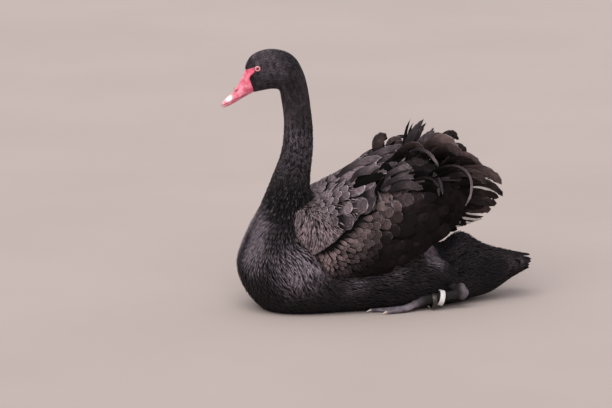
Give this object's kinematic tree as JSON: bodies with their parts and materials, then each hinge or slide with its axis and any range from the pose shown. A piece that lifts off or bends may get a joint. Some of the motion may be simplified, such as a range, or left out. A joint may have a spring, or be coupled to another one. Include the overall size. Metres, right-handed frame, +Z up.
{
  "type": "black swan",
  "caption": "Life-size still model of an adult black swan resting on its belly, neck raised, curled wing feathers lifted, one leg with two rings.",
  "frame": {"origin": "on the floor under the middle of the whole bird, from bill tip to tail tip", "axes": "-X towards the bill, +X towards the tail, +Z up, -Y to the bird's left side"},
  "size_m": [0.603, 0.284, 0.496],
  "materials": {
    "plumage": "dull black, bluish grey sheen on the breast",
    "neck_plumage": "dull black, fine ruffled feathers",
    "wing_plumage": "brown black with paler feather edges",
    "shoulder_plumage": "grey brown with pale feather edges",
    "flight_feather": "white",
    "bill": "semi-gloss horn, coral red",
    "bill_nail": "semi-gloss horn, pale pink",
    "eye": "wet gloss, dark red",
    "leg_skin": "matt scaly skin, dark grey",
    "claw": "satin horn, pale",
    "white_plastic": "plain, satin",
    "ring_metal": "dull, worn"
  },
  "bodies": {
    "root": {"head": "plumage", "neck_upper": "neck_plumage", "neck_lower": "neck_plumage", "trunk": "plumage", "tail": "plumage", "bill_upper": "bill", "bill_lower": "bill", "bill_nail": "bill_nail", "leg_band": "white_plastic", "leg_ring": "ring_metal", "eye_left": "eye", "wing_left": "wing_plumage", "shoulder_left": "shoulder_plumage", "primaries_left": "flight_feather", "leg_left": "leg_skin", "foot_left": "leg_skin", "claw_left_outer": "claw", "claw_left_middle": "claw", "claw_left_inner": "claw", "claw_left_hind": "claw", "eye_right": "eye", "wing_right": "wing_plumage", "shoulder_right": "shoulder_plumage", "primaries_right": "flight_feather", "leg_right": "leg_skin", "foot_right": "leg_skin", "claw_right_outer": "claw", "claw_right_middle": "claw", "claw_right_inner": "claw", "claw_right_hind": "claw"}
  },
  "joints": []
}
